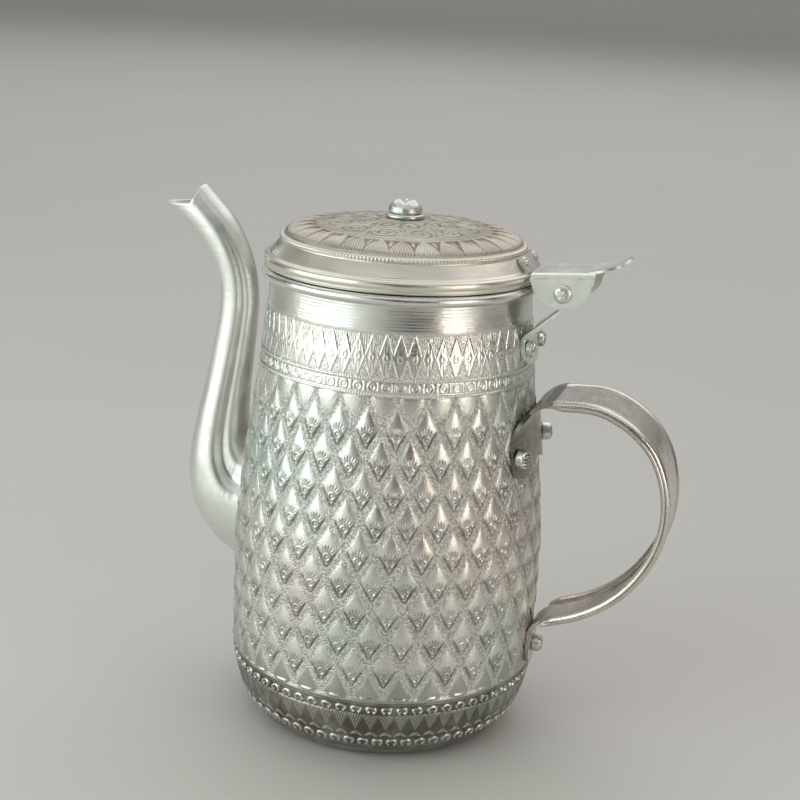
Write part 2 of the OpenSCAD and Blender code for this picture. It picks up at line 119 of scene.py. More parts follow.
def make(name, parts, body, material, stands_for=(), paint=None, bevel=0.0):
    """One object from parts, each (points in mm, list of face arrays). paint holds a value for each of
    the first points, by layer name."""
    points, loops, starts, at, total = [], [], [], 0, 0
    for p, faces in parts:
        for f in faces:
            f = np.asarray(f)
            starts.append(total + np.arange(len(f)) * f.shape[1])
            loops.append((f + at).reshape(-1))
            total += f.size
        points.append(np.asarray(p, float).reshape(-1, 3))
        at += len(points[-1])
    points, loops, starts = np.vstack(points) * MM, np.concatenate(loops), np.concatenate(starts)
    mesh = bpy.data.meshes.new(name)
    mesh.vertices.add(len(points))
    mesh.vertices.foreach_set("co", points.reshape(-1))
    mesh.loops.add(len(loops))
    mesh.loops.foreach_set("vertex_index", loops.astype(np.int32))
    mesh.polygons.add(len(starts))
    mesh.polygons.foreach_set("loop_start", starts.astype(np.int32))
    mesh.update(calc_edges=True)
    mesh.validate()
    for layer, values in (paint or {}).items():
        full = np.zeros(len(mesh.vertices), np.float32)
        full[: values.size] = values.reshape(-1)
        mesh.attributes.new(layer, "FLOAT", "POINT").data.foreach_set("value", full)
    mesh.shade_smooth()
    mesh.materials.append(material)
    obj = bpy.data.objects.new(name, mesh)
    bpy.context.collection.objects.link(obj)
    if bevel:
        edges = obj.modifiers.new("edges", "BEVEL")
        edges.width = bevel * MM
        edges.segments = 3
        edges.limit_method = "ANGLE"
        edges.angle_limit = np.radians(35)
        normals = obj.modifiers.new("normals", "WEIGHTED_NORMAL")
        normals.keep_sharp = True
    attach(obj, body)
    if stands_for:
        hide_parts(*stands_for)
    return obj


def revolve(profile, cols, lift):
    """Turns an (r, z) profile, whose two ends lie on the axis, about Z. lift(phi, r, z) is the height by
    which a point moves out along the profile's normal. Returns points, faces and heights."""
    p = np.asarray(profile, float)
    line = p[1:-1]
    d = np.gradient(line, axis=0)
    n = np.column_stack([d[:, 1], -d[:, 0]])
    n /= np.maximum(np.linalg.norm(n, axis=1), 1e-9)[:, None]
    phi = (np.arange(cols) / cols * 2 * PI)[None]
    r, z = line[:, :1] + 0 * phi, line[:, 1:] + 0 * phi
    h = lift(phi, r, z)
    r, z = r + n[:, :1] * h, z + n[:, 1:] * h
    pts = np.stack([r * np.cos(phi), r * np.sin(phi), z], -1).reshape(-1, 3)
    j = np.arange(cols)
    j2 = (j + 1) % cols
    last = (len(line) - 1) * cols
    faces = [
        grid_faces(len(line), cols, wrap_cols=True),
        np.column_stack([j2, j, np.full(cols, len(pts))]),
        np.column_stack([last + j, last + j2, np.full(cols, len(pts) + 1)]),
    ]
    return np.vstack([pts, [[0, 0, p[0, 1]], [0, 0, p[-1, 1]]]]), faces, h


def points_of(x, y, z):
    """Points in a row or a grid. A single number stands for the whole of it."""
    return np.stack(np.broadcast_arrays(x, y, z), -1)


def sheet(middle, thickness):
    """A closed sheet about rows of middle points."""
    g = np.stack(middle)
    a, b = np.gradient(g, axis=0), np.gradient(g, axis=1)
    n = np.cross(a, b)
    n /= np.maximum(np.linalg.norm(n, axis=-1), 1e-9)[..., None]
    pts = np.vstack([(g + n * thickness / 2).reshape(-1, 3), (g - n * thickness / 2).reshape(-1, 3)])
    rows, cols = g.shape[:2]
    m = rows * cols
    f = grid_faces(rows, cols)
    i, j = np.arange(rows - 1), np.arange(cols - 1)
    rim = np.concatenate([j, i * cols + cols - 1, m - 1 - j, (rows - 1 - i) * cols])
    after = np.roll(rim, -1)
    wall = np.column_stack([rim, rim + m, after + m, after])
    return pts, [f, f[:, ::-1] + m, wall[:, ::-1]]


def sweep(path, normals, sections):
    """Closed sections of (y, depth) points, one for each point of a path in the XZ plane, and end caps."""
    x = path[:, :1] - normals[:, :1] * sections[..., 1]
    z = path[:, 1:] - normals[:, 1:] * sections[..., 1]
    pts = np.stack([x, sections[..., 0], z], -1)
    rows, cols = pts.shape[:2]
    j = np.arange(cols)
    caps = [j[::-1][None], (j + (rows - 1) * cols)[None]]
    return pts.reshape(-1, 3), [grid_faces(rows, cols, wrap_cols=True)] + caps


def plate(outline, y0, y1):
    """A flat piece across Y from an outline in the XZ plane."""
    o = np.asarray(outline, float)
    m = len(o)
    pts = np.vstack([points_of(o[:, 0], y, o[:, 1]) for y in (y0, y1)])
    j = np.arange(m)
    j2 = (j + 1) % m
    return pts, [j[None], (j + m)[::-1][None], np.column_stack([j, j + m, j2 + m, j2])]


def outward(obj):
    """Turns a closed mesh's faces outwards."""
    bm = bmesh.new()
    bm.from_mesh(obj.data)
    bmesh.ops.recalc_face_normals(bm, faces=bm.faces)
    bm.to_mesh(obj.data)
    bm.free()


# ---- materials ----


def new_material(name):
    """An empty material, and the function that adds nodes to it."""
    m = bpy.data.materials.new(name)
    m.use_nodes = True
    tree = m.node_tree
    tree.nodes.clear()

    def node(kind, inputs, output=0, **settings):
        """A node whose inputs are other nodes' outputs, numbers or colours. Returns one of its outputs."""
        n = tree.nodes.new(kind)
        for key, value in settings.items():
            setattr(n, key, value)
        for key, value in inputs.items():
            socket = n.inputs[key]
            if hasattr(value, "links"):
                tree.links.new(value, socket)
            elif socket.type == "RGBA":
                socket.default_value = (*value, 1)
            else:
                socket.default_value = value
        return n.outputs[output] if n.outputs else None

    return m, node


def metal(name, base, warm, cool, rough, brush, brush_scale, dark=0.0, wear=0.3, grain=1.0,
          grime_and_shade_colour=(0.11, 0.095, 0.08), stippled=False):
    """Aluminium with brush marks, faint colour clouds, dull patches and small dents. Where the mesh is
    painted "recess" it is darkened by grime and painted shade, of strength dark. Where it is painted
    "stipple" it is finely beaded, with grime and painted shade darkening its pits."""
    m, node = new_material(name)
    place = node("ShaderNodeTexCoord", {}, "Object")

    def noise(scale, detail=3.0, stretch=None, roughness=0.5):
        at = node("ShaderNodeMapping", {0: place, "Scale": stretch}) if stretch else place
        inputs = {"Vector": at, "Scale": scale, "Detail": detail, "Roughness": roughness}
        return node("ShaderNodeTexNoise", inputs)

    def between(value, low, high, a, b):
        inputs = {"Value": value, "From Min": low, "From Max": high, "To Min": a, "To Max": b}
        return node("ShaderNodeMapRange", inputs)

    def mix(factor, a, b):
        return node("ShaderNodeMix", {0: factor, 6: a, 7: b}, 2, data_type="RGBA")

    def math(kind, a, b):
        return node("ShaderNodeMath", {0: a, 1: b}, operation=kind)

    def painted(layer):
        return node("ShaderNodeAttribute", {}, "Fac", attribute_name=layer)

    def bump(strength, distance, height, invert=False, **under):
        inputs = {"Strength": strength, "Distance": distance, "Height": height, **under}
        return node("ShaderNodeBump", inputs, invert=invert)

    clouds = between(noise(16, 2), 0.35, 0.65, 0, 1)
    colour = mix(clouds, warm, cool)
    colour = mix(between(noise(38), 0.38, 0.62, 0.15, 0.85), colour, base)
    marks = noise(1.0, 4, brush_scale, 0.6)
    colour = mix(between(marks, 0.3, 0.7, 0, 0.22), colour, [c * 0.72 for c in base])
    patches = between(noise(55, 4), 0.35, 0.7, rough - 0.05, rough + 0.1)
    roughness = math("ADD", patches, between(marks, 0.3, 0.7, -0.06, 0.08))
    normal = bump(wear, 0.0006, noise(120 * grain), Normal=bump(brush, 0.00012, marks))
    if stippled:
        stipple = painted("stipple")
        # Grime and painted shade in the stipple's pits darken the colour.
        pits = between(noise(900, 2, None, 0.6), 0.38, 0.62, 0, 0.46)
        colour = mix(math("MULTIPLY", stipple, pits), colour, grime_and_shade_colour)
        cells = node("ShaderNodeTexVoronoi", {"Scale": 1750, "Vector": place}, "Distance")
        normal = bump(0.9, 0.0003, math("MULTIPLY", cells, stipple), invert=True, Normal=normal)
        roughness = math("ADD", roughness, math("MULTIPLY", stipple, 0.16))
    if dark:
        # Grime and painted shade where the mesh is painted "recess".
        darkening = math("MULTIPLY", painted("recess"), between(noise(90), 0.3, 0.6, 0.65, 1))
        colour = mix(math("MULTIPLY", darkening, dark), colour, grime_and_shade_colour)
    inputs = {"Metallic": 1.0, "Base Color": colour, "Roughness": roughness, "Normal": normal}
    node("ShaderNodeOutputMaterial", {0: node("ShaderNodeBsdfPrincipled", inputs)})
    return m


WHITE, WARM, COOL = (0.84, 0.83, 0.80), (0.86, 0.76, 0.73), (0.72, 0.84, 0.78)
SPUN_MARKS = (60, 60, 2600)  # fine rings round the Z axis
embossed = metal("embossed_aluminium", WHITE, WARM, COOL, 0.29, 0.10, SPUN_MARKS, dark=0.93, stippled=True)
lid_metal = metal(
    "lid_aluminium", (0.84, 0.80, 0.72), (0.80, 0.70, 0.59), (0.76, 0.82, 0.74), 0.32, 0.12, SPUN_MARKS,
    dark=0.97, wear=0.25, grime_and_shade_colour=(0.12, 0.08, 0.055), stippled=True,
)
spun = metal(
    "spout_aluminium", (0.86, 0.85, 0.82), (0.84, 0.78, 0.77), (0.78, 0.85, 0.80), 0.40, 0.22,
    (120, 120, 1500), dark=0.5, wear=0.25,
)
strap_metal = metal(
    "strap_aluminium", (0.82, 0.78, 0.72), (0.80, 0.70, 0.61), WHITE, 0.25, 0.3, (900, 90, 900), dark=0.8
)
hinge_metal = metal(
    "hinge_aluminium", (0.82, 0.85, 0.81), WARM, (0.76, 0.85, 0.79), 0.37, 0.3, (500, 90, 500),
    dark=0.6, wear=0.35,
)
rivet_metal = metal(
    "rivet_aluminium", (0.80, 0.80, 0.77), WARM, COOL, 0.32, 0.3, (700, 700, 700), dark=0.7, wear=0.6, grain=4
)
inside_metal = metal("inside_aluminium", (0.70, 0.70, 0.69), WARM, COOL, 0.42, 0.4, (50, 50, 1800))

# ---- the pot ----

# Outside of the pot and its wall, as in the CAD.
POT = [
    [47, 0], [51.4, 0.9], [54.7, 3], [57.8, 7], [60.7, 12], [63.2, 20], [64.6, 30], [65, 42], [65, 80],
    [64.2, 92], [62.6, 108], [60.7, 124], [58.9, 138], [57.4, 150], [56.8, 155], [56.3, 160], [55.6, 168],
    [54.6, 176], [53.9, 184], [53.7, 190.75],
]
WALL, RIM_R, RIM_Z, ROLL = 1.3, 54.9, 190.75, 2.15
ROOT_Z, ROOT_R = 81, 14.2  # the spout's opening in the wall
FINE_STEP = 0.36  # between rows of points on decorated metal


def pot_r(z):
    """The pot's outside radius at height z."""
    return np.interp(z, [p[1] for p in POT], [p[0] for p in POT])


LATTICE, BAND, CHAIN = 32, 64, 65  # repeats round the pot
EYE_PHI = -1.262  # a column of the lattice that faces the front
ROW = 12.12  # height between rows
TOP_ROW_Z = 141.7  # middle of the first full row
LAST_ROW = 9  # the row of plain half diamonds at the bottom
BAR_Z = 31.6  # the short bars in the last row
RING_BAND_Z, FRIEZE_Z = 157.3, 168.7  # middles of the two bands above the lattice


def repeat(phi, count, start, pitch):
    """Distance along the wall from the nearest of count marks, pitch mm apart, and that mark's number."""
    u = (phi - start) * count / (2 * PI)
    k = np.round(u)
    return (u - k) * pitch, k


def open_rings(phi, z, mid, w, h, lift, start):
    """A chain of small open rings with a dot at each end."""
    x, _ = repeat(phi, CHAIN, start, 2 * PI * 62.5 / CHAIN)
    y = z - mid
    rho = np.hypot(x / w, y / h)
    from_gap = np.mod(np.arctan2(y / h, x / w) + PI / 2 + PI, 2 * PI) - PI
    ring = near(rho - 1, 0.30) * ramp(np.abs(from_gap), 0.45, 0.75)
    ends = near(np.hypot(np.abs(x) - w * 0.62, y + h * 0.85), 0.55)
    return lift * np.maximum(ring, ends)


def beads(phi, z, count, mid, size, lift):
    """A line of count beads."""
    return lift * near(z - mid, size) * (0.55 + 0.45 * np.cos(count * phi))


def lattice(phi, z):
    """Puffed diamonds with an eye and rays, between stippled bands. Returns height, stipple, and grime and
    painted shade.
    """
    u = (phi - EYE_PHI) * LATTICE / (2 * PI)
    v = (TOP_ROW_Z - z) / ROW
    best = None
    for odd in (0, 1):
        row = 2 * np.round((v - odd) / 2) + odd
        col = np.round(u - odd / 2) + odd / 2
        x, y = (u - col) * 12.0, -(v - row) * ROW
        found = [np.abs(x) / 6 + np.abs(y) / ROW, x, y, row, col]
        if best is not None:
            closer = found[0] < best[0]
            found = [np.where(closer, b, a) for a, b in zip(best, found)]
        best = found
    d, x, y, row, col = best
    ax, ay = np.abs(x), np.abs(y)
    uneven = 0.10 * np.sin(3.1 * col + 1.7 * row) + 0.08 * np.sin(1.3 * col - 2.3 * row)
    first, last = row < -0.5, row > LAST_ROW - 0.5
    full = ~first & ~last
    # The first row is rounded, the others are diamonds.
    p, q = np.clip(x / 4.9 + y / 9.0, -1, 1), np.clip(x / 4.9 - y / 9.0, -1, 1)
    dome = np.clip(1 - (ax / 5.4) ** 2 - (ay / 8.2) ** 2, 0, 1)
    cushion = np.where(first, dome, np.cos(p * PI / 2) * np.cos(q * PI / 2))
    e = np.where(first, ((ax / 5.2) ** 1.8 + (ay / 8.0) ** 1.8) ** (1 / 1.8), ax / 4.6 + ay / 8.6)
    inside = ramp(1.0 - e, -0.06, 0.12)
    h = (0.50 + 0.7 * uneven) * cushion**0.85 * (1 + 0.03 * y) - 0.26
    # The lower edges are struck as a deep V. off is the distance outside the edge, in mm.
    off = (ax / 4.5 + ay / 8.35 - 1) / 0.2523
    low = ramp(-y, 0.6, 2.2) * ramp(8.7 - ay, 0, 0.5)
    ledge = np.where(first, 0, 0.16) * ramp(-off, -0.1, 0.5) * ramp(1.6 + off, 0, 1.2)
    groove = np.where(first, 0.06, 0.48) * near(off - 0.15, 0.33)
    h = h + low * (ledge - groove)
    # The eye and its rays.
    ey = y + 4.15
    rho, th = np.hypot(x, ey), np.arctan2(x, ey)
    eye = -0.40 * near(rho, 1.9) + 0.50 * near(rho - 1.32, 0.34) + 0.42 * near(rho, 0.42)
    k = th / 0.33
    side = np.abs(np.round(k))
    ray = near((k - np.round(k)) * 0.33 * rho, 0.22 + 0.035 * rho) * (side <= 4)
    reach = ramp(rho, 1.85, 2.2) * ramp(5.0 - 0.17 * side**1.5 - rho, 0, 0.9)
    fan = reach * ramp(1.5 - np.abs(th), 0, 0.1)
    h = h + np.where(full, eye + 0.50 * ray * reach - 0.28 * fan, 0)
    # Grime and painted shade round the eye, between the rays and in the V.
    rings = 0.85 * near(rho - 0.78, 0.3) + 0.7 * near(rho - 1.85, 0.3)
    grime_and_shade = np.where(full, rings + 0.75 * fan * (1 - ray), 0)
    grime_and_shade = np.maximum(grime_and_shade, 0.9 * near(off - 0.2, 0.28) * low * np.where(first, 0.1, 1))
    grime_and_shade = grime_and_shade * (0.75 + 0.35 * np.sin(2.9 * col - 1.1 * row))
    # Ladder strokes across the bands.
    t = (ax * 4.5 - ay * 8.3) / 9.44
    rung = np.cos(2 * PI * t / 1.114 + 0.8 * np.sin(2.1 * col + row))
    grain = np.cos(2 * PI * (d - 1) / 0.17)
    h = h + (1 - inside) * (0.07 * rung + 0.03 * grain)
    stip = (1 - 0.85 * ramp(1.0 - e, -0.15, 0.32)) * np.where(last, 0.5, 1)
    # A short bright bar in each bottom half diamond.
    bar = near(y - (BAR_Z - (TOP_ROW_Z - LAST_ROW * ROW)), 0.42) * ramp(2.9 - ax, 0, 0.8)
    h = h + np.where(last, 0.55 * bar, 0)
    grime_and_shade = np.maximum(grime_and_shade, np.where(last, 0.5 * inside * (1 - bar), 0))
    return h, stip, np.clip(grime_and_shade, 0, 1)


def ring_band(phi, z):
    """Rings and waisted blocks between two beaded lines. Returns height."""
    y, pitch = z - RING_BAND_Z, 5.55
    x, _ = repeat(phi, BAND, EYE_PHI + 0.012, pitch)
    rho = np.hypot(x, y)
    ring = 0.30 * near(rho - 1.42, 0.36) + 0.2 * near(rho, 0.5)
    waist = 0.62 + 0.38 * (y / 1.9) ** 2
    block = ramp(waist - np.abs(np.abs(x) - pitch / 2), 0, 0.3) * ramp(1.95 - np.abs(y), 0, 0.3)
    h = (ring + 0.26 * block - 0.14) * (np.abs(y) < 2.3)
    for mid in (160.25, 154.35):
        grooves = near(z - mid - 0.8, 0.3) + near(z - mid + 0.8, 0.3)
        h = h + beads(phi, z, 320, mid, 0.42, 0.34) - 0.20 * grooves
    return h


def frieze(phi, z):
    """Tall lozenges over hatching that fades out upwards. Returns height and stipple."""
    y = z - FRIEZE_Z
    x, k = repeat(phi, BAND, EYE_PHI, 5.48)
    ax, ay = np.abs(x), np.abs(y)
    uneven = 0.5 * np.sin(7.0 * k)
    tall = 7.9 + uneven
    d = (ax / 2.62 + ay / tall - 1) / 0.403
    line = near(d, 0.26) * ramp(tall + 0.2 - ay, 0, 0.4)
    eye = 0.17 * near(np.hypot(x, y * 0.55) - 0.72, 0.28) + 0.10 * near(ax - 0.55, 0.25) * (ay > 2)
    hatch = 0.085 * np.cos(2 * PI * (x * 0.86 + y * 0.55) / 1.02)
    strokes = 0.07 * np.cos(2 * PI * x / 0.92) * ramp(9.4 + uneven - y, 0, 1.0)
    inner, outer = ramp(-d, 0.25, 0.6), ramp(d, 0.2, 0.5)
    top, fade = ramp(y, -0.4, 0.6), ramp(9.8 - y, 0, 1.2)
    h = 0.17 * line + inner * (0.04 + eye) + outer * ((1 - top) * hatch + top * strokes) - 0.10 * outer * fade
    return h * ramp(z, 160.6, 161.2), 0.45 * outer * fade


def foot_bands(phi, z):
    """Bead lines, two chains of open rings, hatched points and a scroll. Returns height and stipple."""
    h = beads(phi, z, 330, 30.1, 0.42, 0.30) + beads(phi + 0.01, z, 330, 28.95, 0.36, 0.22)
    h = h - 0.18 * (near(z - 29.5, 0.22) + near(z - 28.3, 0.3))
    h = h - 0.30 * ramp(z, 23.9, 24.5) * ramp(28.5 - z, 0, 0.5)
    h = h + open_rings(phi, z, 26.35, 1.75, 1.25, 0.95, EYE_PHI + 0.03)
    x, _ = repeat(phi, CHAIN, EYE_PHI + 0.03, 6.1)
    down = (24.2 - z) / 7.2
    from_side = (1 - down) * 3.15 - np.abs(x)
    point = ramp(from_side, -0.1, 0.25) * (down > 0) * (down < 1.05)
    h = h + point * (0.10 + 0.20 * np.cos(2 * PI * (x * 0.93 - z * 0.36) / 0.95))
    h = h + 0.16 * near(from_side, 0.22) * (down > 0) * (down < 1)
    scroll = near(z - 14.4 - 0.7 * np.sin(CHAIN * phi), 0.5) * (0.5 + 0.5 * np.sin(2 * CHAIN * phi + 1.1))
    leaf = near(np.hypot(x * 0.8, z - 15.1), 0.75)
    h = h + 0.42 * scroll + 0.30 * leaf
    h = h - 0.25 * ramp(z, 8.0, 8.5) * ramp(13.0 - z, 0, 0.5)
    h = h + open_rings(phi, z, 10.4, 1.95, 1.45, 1.0, EYE_PHI - 0.02)
    h = h + beads(phi, z, 330, 7.5, 0.42, 0.26)
    return h, 0.35 * (1 - point) * (z < 25) * (z > 13)


def pot_relief(phi, r, z):
    """The pressed decoration over the plain wall: height, stipple, and grime and painted shade."""
    h, stip, grime_and_shade = np.zeros((3, *z.shape))

    def between(low, high):
        """The rows of the outer wall between two heights."""
        i = np.where((z[:, 0] > low) & (z[:, 0] < high) & (r[:, 0] > 52))[0]
        return slice(i[0], i[-1] + 1)

    s = between(30.6, 153.6)
    h[s], stip[s], grime_and_shade[s] = lattice(phi, z[s])
    s = between(153.0, 161.4)
    h[s] = h[s] * (z[s] < 153.6) + ring_band(phi, z[s])
    s = between(161.0, 178.5)
    g, stip[s] = frieze(phi, z[s])
    h[s] += g
    # Faint turned lines on the plain neck.
    s = between(177.0, 190.2)
    h[s] += 0.02 * np.sin(z[s] * 5.1) + 0.012 * np.sin(z[s] * 11.7 + 1)
    grime_and_shade[s] = 0.16
    s = between(5.9, 31.4)
    g, dots = foot_bands(phi, z[s])
    h[s] = np.where(z[s] < 30.9, g, np.maximum(h[s], g)) * ramp(z[s], 6.1, 6.8)
    stip[s] = np.maximum(stip[s] * (z[s] > 30.8), dots)
    return h, stip, grime_and_shade


def build_pot():
    base = [[0, 0.55], [6, 0.5], [25, 0.35], [40, 0.3], [44.5, 0.1], [46, 0.0], [47.2, 0.0]]
    wall = even(smooth_line(POT[1:-1], 12), FINE_STEP)
    foot = rounded([[47.2, 0.0], [49.5, 0.25], wall[0]], 1.5)[1:-1]
    neck = even([wall[-1], [53.72, 187.6], [53.75, 189.0]], 0.4)[1:]
    roll = [RIM_R, RIM_Z] + ROLL * directions(np.radians(np.arange(-122, 212, 9)))
    heights = np.concatenate([[189.2], np.arange(184, 12, -4.0)])
    inner = np.column_stack([pot_r(heights) - WALL, heights])
    floor = [[57.2, 8.4], [54.6, 5.2], [51.6, 2.9], [47.5, 1.5], [38, 1.3], [20, 1.3], [6, 1.3], [0, 1.3]]
    profile = np.vstack([base, foot, wall, neck, roll, inner, floor])
    start = len(base) + len(foot) - 1
    decorated = slice(start, start + len(wall) + len(neck))
    paint = {}

    def lift(phi, r, z):
        h, stip, grime_and_shade = np.zeros((3, *z.shape))
        h[decorated], stip[decorated], grime_and_shade[decorated] = pot_relief(phi, r[decorated], z[decorated])
        paint["stipple"], paint["recess"] = stip, grime_and_shade
        return h

    pts, faces, h = revolve(profile, 1280, lift)
    # Grime and painted shade in the hollows, most of all in the bands near the foot, and painted shade under
    # the pot's turned edge at the foot.
    x, y, z = (pts[: h.size, k].reshape(h.shape) for k in range(3))
    hollows = np.clip(-h * 1.5 - 0.42, 0, 1)
    bands = (h != 0) * ramp(31.5 - z, 0, 2) * np.clip(1.0 - 2.2 * h, 0, 1)
    # Painted shade under the turned edge at the foot.
    edge = 0.8 * ramp(9.5 - z, 0, 2.5) * (np.hypot(x, y) > 46.5) * (h < 0.12)
    paint["recess"] = np.max([paint["recess"], hollows, bands, edge], axis=0)
    # The round opening into the spout, through both faces of the wall.
    centre = pts[faces[0]].mean(1)
    hole = (np.hypot(centre[:, 1], centre[:, 2] - ROOT_Z) < ROOT_R) & (centre[:, 0] < -40)
    faces[0] = faces[0][~hole]
    make("pot_body", [(pts, faces)], "pot", embossed, ["body"], paint)


# ---- the spout ----

# The tube's front and back lines in the XZ plane, its half width at the same stations, and the lip's cut.
FRONT = [
    [-58, 55], [-66, 57], [-75.5, 62.6], [-83.3, 70.4], [-89.2, 80.5], [-91.8, 93], [-91, 106], [-88.6, 120],
    [-85.4, 134.5], [-82.6, 149], [-80.3, 162], [-79.3, 173], [-80.2, 182], [-84, 190.6], [-90.4, 198.6],
    [-98, 205.4], [-106, 211],
]
BACK = [
    [-50, 108], [-57, 108], [-62.6, 108.5], [-64.6, 109.8], [-65.6, 112.2], [-66.2, 116], [-66.5, 121.5],
    [-66.2, 129.5], [-65.4, 139.5], [-64.3, 151], [-63.3, 162], [-62.8, 172], [-64.2, 184], [-68.4, 196],
    [-74.6, 206.4], [-81.2, 213.4], [-88.6, 220.6],
]
HALF = [17.5, 17.5, 17.3, 16.8, 15.9, 14.8, 13.5, 12.1, 10.7, 9.4, 8.5, 8.1, 8.2, 8.4, 8.4, 8.1, 7.6]
LIP = [
    [-125, 211.3], [-106, 210.8], [-97, 211.1], [-91.2, 211.9], [-90.0, 215.4], [-88.8, 218.2], [-87, 220.2],
    [-80, 222.5],
]
SPOUT_WALL = 1.15
LIP_START = 13.5  # the station after which the lip may cut the tube
FOLD_AT, FOLD_DEPTH = 60, 0.17  # degrees from the back line, and share of the radius


def build_spout():
    steps, sides = 10, 96
    front, back = smooth_line(FRONT, steps), smooth_line(BACK, steps)
    half = smooth_line([[w, 0] for w in HALF], steps)[:, 0]
    t = np.linspace(0, len(FRONT) - 1, len(front))
    a = np.arange(sides) / sides * 2 * PI
    from_fold = np.degrees(np.minimum(a, 2 * PI - a)) - FOLD_AT
    strength = (ramp(t, -0.5, 2.6) * (1 - 0.85 * ramp(t, 11.0, 14.3)))[:, None]
    lip_x, lip_z = np.transpose(LIP)

    def tube(inwards):
        """The folded tube, this far inside its outer face."""
        mid, u = (front + back) / 2, (back - front) / 2
        length = np.linalg.norm(u, axis=1)
        d = u / length[:, None]
        q = 1 - FOLD_DEPTH * strength * near(from_fold, 12)[None]
        along = (length - inwards)[:, None] * np.cos(a) * q
        y = (half - inwards)[:, None] * np.sin(a) * q
        return points_of(mid[:, :1] + d[:, :1] * along, y, mid[:, 1:] + d[:, 1:] * along)

    def trim(g):
        """Runs each long line of the tube to the lip, and starts it just inside the pot's wall."""
        out = np.empty_like(g)
        stations = np.arange(len(g))
        for k in range(sides):
            line = g[:, k]
            above = line[:, 2] - np.interp(line[:, 0], lip_x, lip_z)
            over = above > 0
            over[: int(LIP_START * steps)] = False
            end = len(line) - 1
            if over.any():
                i = np.argmax(over)
                end = i - 1 + above[i - 1] / (above[i - 1] - above[i])
            out_of_pot = np.hypot(line[:, 0], line[:, 1]) > pot_r(line[:, 2]) - 0.5
            s = np.linspace(max(np.argmax(out_of_pot) - 1, 0), end, len(line))
            out[:, k] = points_of(*[np.interp(s, stations, line[:, c]) for c in range(3)])
        return out

    outer, inner = trim(tube(0)), trim(tube(SPOUT_WALL))
    rows = len(outer)
    # A soft rounded lip joins the two faces.
    away = outer[-1] - outer[-3]
    away /= np.maximum(np.linalg.norm(away, axis=1), 1e-6)[:, None]
    edge = (outer[-1] + inner[-1]) / 2 + away * 0.4
    g = np.concatenate([outer, edge[None], inner[::-1]])
    scuff = 0.03 * np.sin(g[..., 2] * 3.1 + 2 * np.sin(g[..., 2] * 0.7))
    g[:rows, :, 1] += (scuff * np.sign(g[..., 1]))[:rows]
    # Painted shade along the fold's crease on the outer face, and over the whole inner face.
    recess = np.zeros(g.shape[:2])
    recess[:rows] = 0.75 * near(from_fold, 8)[None] * strength
    recess[rows + 1 :] = 0.6
    parts = [(g, [grid_faces(len(g), sides, wrap_cols=True)])]
    outward(make("spout_tube", parts, "pot", spun, ["spout"], {"recess": recess}))
    build_spout_root()


def build_spout_root():
    """The turned edge of the spout, inside the pot."""
    ring, cols = [], 72
    ang = np.arange(cols) / cols * 2 * PI
    across, up = np.cos(ang), np.sin(ang)
    for r, depth in ((12.9, 60.5), (13.9, 60.7), (16.6, 61.6), (16.6, 62.6), (14.0, 62.4)):
        ring.append(points_of(-np.sqrt(depth**2 - (r * across) ** 2), r * across, ROOT_Z + r * up))
    for r, depth in ((14.0, 65.4), (12.9, 65.4)):
        ring.append(points_of(-depth, r * across, ROOT_Z + r * up))
    parts = [(np.stack(ring), [grid_faces(len(ring), cols, True, True)])]
    outward(make("spout_root", parts, "pot", inside_metal))


# ---- the handle ----

# The strap's outer line in the XZ plane, and half of the saddle plate's (y, z) outline.
STRAP = [
    [58.8, 139.4], [59.2, 141.6], [60.7, 144.2], [64.2, 147.2], [69.5, 149.3], [76, 150], [83, 150.3],
    [90, 149.4], [97.5, 146.4], [104.5, 141.9], [111, 135.4], [115.6, 127.2], [118.4, 118], [119.4, 108.5],
    [118.6, 98.6], [115.6, 88.4], [110.2, 77.9], [102.8, 68.6], [94.2, 61.4], [85.4, 56.4], [77.2, 53.2],
    [71.4, 51.4], [68.6, 49.4], [67.2, 46.4], [66.8, 43.4],
]
PLATE_HALF = [
    [0, 123.4], [3.6, 122.2], [7.2, 120.3], [11.4, 118.4], [15.6, 117], [19.4, 116.8], [22.2, 118.3],
    [23.6, 121.3], [24.2, 125.5], [24, 129.6], [22.6, 133.6], [20.6, 137], [18.6, 140], [17.2, 143],
]
# The tab's end on the pot: height and half width.
TAB = [(42, 7.4), (40, 7.4), (38, 7.35), (36, 7.1), (34, 6.6), (32.4, 5.6), (31.2, 4.4), (30.5, 2.9)]
ON_WALL = 0.95  # from the pot's wall to the middle of a sheet that lies on it
STRAP_TOP, STRAP_LEAN = 150, np.tan(np.radians(2.5))  # each hem leans in from the top down


def line_normals(p):
    """Unit normals to the left of a line in a plane."""
    d = np.gradient(p, axis=0)
    n = np.column_stack([-d[:, 1], d[:, 0]])
    return n / np.linalg.norm(n, axis=1)[:, None]


def strap_section(swell):
    """The strap's (y, depth) section between its two hems: plain at swell 0, rolled over at swell 1."""
    rolled = [[0, 0.55], [6, 0.52], [11.2, 0.5], [12.3, 0.62], [12.8, 0.95], [13.25, 0.45], [14.0, 0.02],
              [15.1, -0.02], [16.2, 0.35], [16.85, 1.05], [16.95, 1.7], [16.62, 2.0], [16.95, 2.35],
              [16.8, 3.15], [16.1, 3.85], [15.0, 4.02], [13.6, 3.9], [12.5, 3.45], [11.8, 2.8], [11.5, 2.35],
              [10.6, 2.12], [6, 2.08], [0, 2.1]]
    plain = [[0, 0], [6, 0], [11.2, 0], [12.3, 0], [12.8, 0], [13.3, 0], [14.0, 0], [15.1, 0], [16.2, 0.02],
             [16.7, 0.15], [16.95, 0.5], [17, 0.8], [16.95, 1.1], [16.8, 1.45], [16.2, 1.58], [15.1, 1.6],
             [14.0, 1.6], [13.3, 1.6], [13.0, 1.6], [12.4, 1.6], [11.2, 1.6], [6, 1.6], [0, 1.6]]
    right = np.asarray(rolled) * swell + np.asarray(plain) * (1 - swell)
    return np.vstack([right, right[1:-1][::-1] * [-1, 1]])


